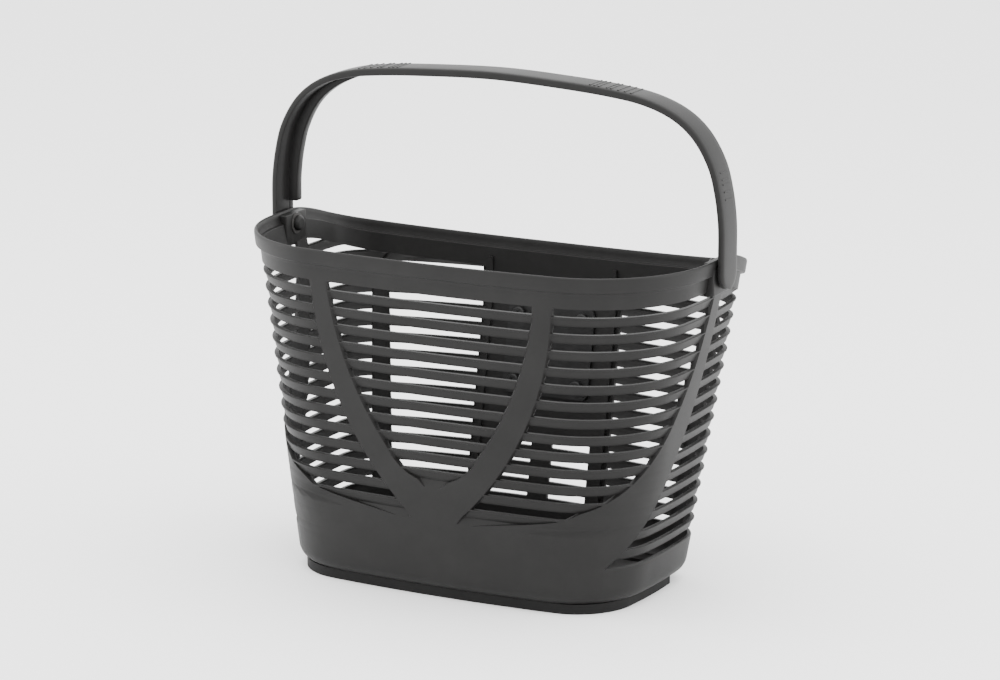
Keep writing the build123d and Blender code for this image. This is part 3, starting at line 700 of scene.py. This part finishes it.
def handle_mesh():
    """The bail: leg ends round the pivots, a rib inside each leg and a crowned grip."""
    full = []
    for x, z, nx, nz in arch_frames():
        squeeze = 1.0
        if z < PIVOT_Z and x > LEG_SIDE_X:
            squeeze = math.sqrt(max(1.0 - ((PIVOT_Z - z) / HANDLE_HALF) ** 2, TIP_LEAST_SQUEEZE))
        share = min(max((x - GRIP_END_X) / (LEG_START_X - GRIP_END_X), 0.0), 1.0)
        thickness = GRIP_THICKNESS + (LEG_THICKNESS - GRIP_THICKNESS) * share
        reach = min(max((x - RIB_END_X) / (RIB_FULL_X - RIB_END_X), 0.0), 1.0)
        rib = RIB_REACH * reach**0.8 if z >= RIB_START_Z else 0.0
        full.append((x, z, nx, nz, thickness, rib, squeeze))
    first_rib = next(i for i, s in enumerate(full) if s[5] > 0)
    ledge = full[first_rib]
    full.insert(first_rib, (ledge[0], RIB_START_Z, *ledge[2:5], 0.0, 1.0))
    full.insert(first_rib + 1, (ledge[0], RIB_START_Z + 0.02, *ledge[2:5], RIB_REACH - 0.6, 1.0))
    full.insert(first_rib + 2, (ledge[0], RIB_START_Z + 0.8, *ledge[2:5], RIB_REACH, 1.0))
    clear_z = RIB_START_Z + 1.0
    full = [s for i, s in enumerate(full) if i <= first_rib + 2 or s[1] > clear_z or s[0] < LEG_SIDE_X]
    bm = bmesh.new()
    rings = []
    mirrored = [(-x, z, -nx, nz, t, r, q) for x, z, nx, nz, t, r, q in reversed(full[:-1])]
    for x, z, nx, nz, thickness, rib, squeeze in full + mirrored:
        ring = [bm.verts.new((x - nx * n, y, z - nz * n)) for y, n in handle_section(thickness, rib, squeeze)]
        rings.append(ring)
    for a, b in zip(rings, rings[1:]):
        for i in range(len(a)):
            j = (i + 1) % len(a)
            bm.faces.new([a[i], a[j], b[j], b[i]])
    bm.faces.new(rings[0])
    bm.faces.new(rings[-1])
    return bm


def grip_frame(x):
    """The arch frame nearest to a place x along the grip's right half."""
    return min(arch_frames(), key=lambda f: abs(f[0] - x) + (0 if f[1] > SHOULDER_Z else FAR_AWAY))


def leg_frame(z):
    """The arch frame nearest to a height z on the right leg."""
    return min(arch_frames(), key=lambda f: abs(f[1] - z) + (0 if f[0] > LEG_UPPER_X else FAR_AWAY))


def add_ridge(bm, x, z, nx, nz, y_low, y_high, width, height):
    """Adds one low ridge across the bail's outer face."""
    tx, tz = -nz, nx
    section = [(-width / 2, -0.5), (-width / 4, height), (width / 4, height), (width / 2, -0.5)]
    ends = []
    for y in (y_low, y_high):
        ends.append([bm.verts.new((x + tx * a + nx * n, y, z + tz * a + nz * n)) for a, n in section])
    for i in range(4):
        j = (i + 1) % 4
        bm.faces.new([ends[0][i], ends[0][j], ends[1][j], ends[1][i]])
    bm.faces.new(ends[0])
    bm.faces.new(ends[1])


def handle_details():
    """Grip serrations on both shoulders and short bars on the legs."""
    bm = bmesh.new()
    for sign in (1, -1):
        for i in range(SERRATIONS):
            x, z, nx, nz = grip_frame(SERRATION_START_X + DETAIL_PITCH * i)
            add_ridge(bm, sign * x, z, sign * nx, nz, -9.5, 9.5, 1.7, 0.25)
        for i in range(LEG_BARS):
            x, z, nx, nz = leg_frame(LEG_BAR_START_Z + DETAIL_PITCH * i)
            add_ridge(bm, sign * x, z, sign * nx, nz, -5.0, 4.5, 1.8, 0.2)
    return bm


# ---- Materials ----
def node(tree, kind, place, **values):
    made = tree.nodes.new(kind)
    made.location = place
    for key, value in values.items():
        if hasattr(made, key):
            setattr(made, key, value)
        else:
            made.inputs[key.replace("_", " ")].default_value = value
    return made


def ramp(tree, place, stops):
    made = tree.nodes.new("ShaderNodeValToRGB")
    made.location = place
    made.color_ramp.elements[0].position = stops[0][0]
    made.color_ramp.elements[0].color = stops[0][1]
    made.color_ramp.elements[1].position = stops[-1][0]
    made.color_ramp.elements[1].color = stops[-1][1]
    for position, colour in stops[1:-1]:
        made.color_ramp.elements.new(position).color = colour
    return made


def grey(level, warm=0.0):
    return (level * (1 + warm), level, level * (1 - warm), 1.0)


def moulded_plastic(name, level, rough=(0.42, 0.58), grain=1500.0, bump=0.12, warm=0.03):
    """Grained moulded plastic: mottled tone, scuffs on its edges, uneven gloss and a fine grain."""
    material = bpy.data.materials.new(name)
    material.use_nodes = True
    tree = material.node_tree
    shader = tree.nodes["Principled BSDF"]
    shader.inputs["Specular IOR Level"].default_value = 0.18
    place = node(tree, "ShaderNodeTexCoord", (-1300, 0))
    mottle = node(tree, "ShaderNodeTexNoise", (-1050, 250), Scale=38.0, Detail=6.0, Roughness=0.6)
    shares = ((0.3, 0.82), (0.55, 1.0), (0.8, 1.25))
    tones = [(position, grey(level * share, warm)) for position, share in shares]
    tone = ramp(tree, (-800, 250), tones)
    scuff = node(tree, "ShaderNodeTexNoise", (-1050, 0), Scale=260.0, Detail=8.0, Roughness=0.7)
    scuff_mask = ramp(tree, (-800, 0), [(0.62, (0, 0, 0, 1)), (0.8, (0.35, 0.35, 0.35, 1))])
    edge = node(tree, "ShaderNodeNewGeometry", (-1050, -250))
    edge_mask = ramp(tree, (-800, -250), [(0.52, (0, 0, 0, 1)), (0.62, (1, 1, 1, 1))])
    wear = node(tree, "ShaderNodeMath", (-540, -120), operation="MULTIPLY")
    mix = node(tree, "ShaderNodeMix", (-300, 200), data_type="RGBA")
    gloss = node(tree, "ShaderNodeTexNoise", (-1050, -480), Scale=22.0, Detail=4.0)
    gloss_range = node(tree, "ShaderNodeMapRange", (-800, -480), To_Min=rough[0], To_Max=rough[1])
    fine = node(tree, "ShaderNodeTexNoise", (-1050, -720), Scale=grain, Detail=3.0, Roughness=0.55)
    bumper = node(tree, "ShaderNodeBump", (-300, -420), Strength=bump, Distance=0.0004)
    for noise in (mottle, scuff, gloss, fine):
        tree.links.new(place.outputs["Object"], noise.inputs["Vector"])
    tree.links.new(mottle.outputs["Fac"], tone.inputs["Fac"])
    tree.links.new(scuff.outputs["Fac"], scuff_mask.inputs["Fac"])
    tree.links.new(edge.outputs["Pointiness"], edge_mask.inputs["Fac"])
    tree.links.new(scuff_mask.outputs["Color"], wear.inputs[0])
    tree.links.new(edge_mask.outputs["Color"], wear.inputs[1])
    tree.links.new(wear.outputs["Value"], mix.inputs["Factor"])
    tree.links.new(tone.outputs["Color"], mix.inputs["A"])
    mix.inputs["B"].default_value = grey(min(level * 4.0, 0.3), warm)
    tree.links.new(mix.outputs["Result"], shader.inputs["Base Color"])
    tree.links.new(gloss.outputs["Fac"], gloss_range.inputs["Value"])
    tree.links.new(gloss_range.outputs["Result"], shader.inputs["Roughness"])
    tree.links.new(fine.outputs["Fac"], bumper.inputs["Height"])
    tree.links.new(bumper.outputs["Normal"], shader.inputs["Normal"])
    return material


def worked_metal(name, level, rough=(0.28, 0.45)):
    """Plated or turned metal: faint tone changes, streaked gloss and fine scratches."""
    material = bpy.data.materials.new(name)
    material.use_nodes = True
    tree = material.node_tree
    shader = tree.nodes["Principled BSDF"]
    shader.inputs["Metallic"].default_value = 1.0
    place = node(tree, "ShaderNodeTexCoord", (-1200, 0))
    tone_noise = node(tree, "ShaderNodeTexNoise", (-950, 200), Scale=120.0, Detail=5.0)
    tone = ramp(tree, (-650, 200), [(0.3, grey(level * 0.8)), (0.7, grey(level * 1.08))])
    streak = node(tree, "ShaderNodeTexNoise", (-950, -100), Scale=900.0, Detail=4.0)
    gloss_range = node(tree, "ShaderNodeMapRange", (-650, -100), To_Min=rough[0], To_Max=rough[1])
    bumper = node(tree, "ShaderNodeBump", (-350, -300), Strength=0.08, Distance=0.0002)
    for noise in (tone_noise, streak):
        tree.links.new(place.outputs["Object"], noise.inputs["Vector"])
    tree.links.new(tone_noise.outputs["Fac"], tone.inputs["Fac"])
    tree.links.new(tone.outputs["Color"], shader.inputs["Base Color"])
    tree.links.new(streak.outputs["Fac"], gloss_range.inputs["Value"])
    tree.links.new(gloss_range.outputs["Result"], shader.inputs["Roughness"])
    tree.links.new(streak.outputs["Fac"], bumper.inputs["Height"])
    tree.links.new(bumper.outputs["Normal"], shader.inputs["Normal"])
    return material


shell_plastic = moulded_plastic("shell_plastic", 0.008)
handle_plastic = moulded_plastic("handle_plastic", 0.008, rough=(0.4, 0.55))
# Plinth plastic at half the shell's tone: the darker colour is painted shade on the foot under the basket. The
# rougher gloss is the plastic's own.
dull_plastic_painted_shade = moulded_plastic("dull_plastic_painted_shade", 0.004, rough=(0.6, 0.75))
latch_plastic = moulded_plastic("latch_plastic", 0.007)
lever_plastic = moulded_plastic("lever_plastic", 0.045, rough=(0.45, 0.6))
bearing_plastic = moulded_plastic("bearing_plastic", 0.04, rough=(0.3, 0.42), bump=0.05)
zinc_steel = worked_metal("zinc_steel", 0.56)
# Near-black zinc for the backing plate, mount screws and washers: painted shade for the dark inside of the
# basket seen through the slats. The parts themselves are bright zinc-plated.
painted_shade_zinc = worked_metal("painted_shade_zinc", 0.03, rough=(0.4, 0.6))
pin_steel = worked_metal("pin_steel", 0.6, rough=(0.22, 0.36))

CAD_MATERIALS = {
    # The plinth's darker tone is painted shade under the basket.
    "base_plinth": dull_plastic_painted_shade,
    "plinth_screws": zinc_steel,
    "pivot_pin_left": pin_steel,
    "pivot_pin_right": pin_steel,
    "pivot_cap_left": handle_plastic,
    "pivot_cap_right": handle_plastic,
    "pivot_bush_left": bearing_plastic,
    "pivot_bush_right": bearing_plastic,
    "pivot_washer_left": bearing_plastic,
    "pivot_washer_right": bearing_plastic,
    # The backing plate, mount screws and washers take the near-black zinc that paints the shade inside the
    # basket.
    "backing_plate": painted_shade_zinc,
    "hook_plate": latch_plastic,
    "mount_screws": painted_shade_zinc,
    "mount_washers": painted_shade_zinc,
    "mount_nuts": zinc_steel,
    "release_lever": lever_plastic,
    "lever_axle": pin_steel,
    "lever_spring": pin_steel,
}
for name, material in CAD_MATERIALS.items():
    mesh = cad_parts[name].data
    mesh.materials.clear()
    mesh.materials.append(material)

# ---- Pieces that stand for CAD nodes ----
shell_bm = basket_mesh()
add_fittings(shell_bm)
basket = add_object("basket_body", shell_bm)
basket.data.materials.append(shell_plastic)
floor_piece = floor_plate()
floor_piece.data.materials.append(shell_plastic)
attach(basket, "basket")
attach(floor_piece, "basket")
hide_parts("basket_shell")

handle = add_object("bail_handle", handle_mesh(), 40.0)
handle.data.materials.append(handle_plastic)
ridges = add_object("grip_ridges", handle_details())
ridges.data.materials.append(handle_plastic)
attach(handle, "handle")
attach(ridges, "handle")
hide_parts("carry_handle")

# ---- Floor, light and camera ----
AZIMUTH = math.radians(27.46)
ELEVATION = math.radians(13.98)
DISTANCE = 2.6
CAMERA_TARGET = Vector((0.0258, -0.0476, 0.1749))


def area_light(name, place, target, size, energy):
    data = bpy.data.lights.new(name, "AREA")
    data.shape = "RECTANGLE"
    data.size, data.size_y = size
    data.energy = energy
    lamp = bpy.data.objects.new(name, data)
    lamp.location = place
    lamp.rotation_euler = (Vector(target) - Vector(place)).to_track_quat("-Z", "Y").to_euler()
    bpy.context.scene.collection.objects.link(lamp)


def studio():
    """Pale floor, white surroundings and three soft boxes."""
    bm = bmesh.new()
    bmesh.ops.create_grid(bm, x_segments=2, y_segments=2, size=20000.0)
    ground = add_object("studio_floor", bm)
    paint = bpy.data.materials.new("pale_floor")
    paint.use_nodes = True
    paint.node_tree.nodes["Principled BSDF"].inputs["Base Color"].default_value = (0.93, 0.93, 0.93, 1.0)
    paint.node_tree.nodes["Principled BSDF"].inputs["Roughness"].default_value = 0.9
    ground.data.materials.append(paint)
    world = bpy.data.worlds.new("white_room")
    world.use_nodes = True
    world.node_tree.nodes["Background"].inputs["Color"].default_value = (1.0, 1.0, 1.0, 1.0)
    world.node_tree.nodes["Background"].inputs["Strength"].default_value = 3.0
    bpy.context.scene.world = world
    centre = (0.0, 0.0, 0.15)
    area_light("top_box", (0.0, 0.1, 1.6), centre, (1.6, 1.2), 16.0)
    area_light("left_box", (-1.7, -0.6, 0.7), centre, (0.8, 1.4), 14.0)
    area_light("right_box", (1.7, 0.4, 0.8), centre, (0.9, 1.4), 18.0)


def camera():
    data = bpy.data.cameras.new("photo_camera")
    data.sensor_width = 36.0
    data.lens = 138.07
    data.clip_end = 100.0
    looking = Vector(
        (
            -math.sin(AZIMUTH) * math.cos(ELEVATION),
            math.cos(AZIMUTH) * math.cos(ELEVATION),
            -math.sin(ELEVATION),
        )
    )
    obj = bpy.data.objects.new("photo_camera", data)
    obj.location = CAMERA_TARGET - looking * DISTANCE
    obj.rotation_euler = looking.to_track_quat("-Z", "Y").to_euler()
    bpy.context.scene.collection.objects.link(obj)
    bpy.context.scene.camera = obj


studio()
camera()
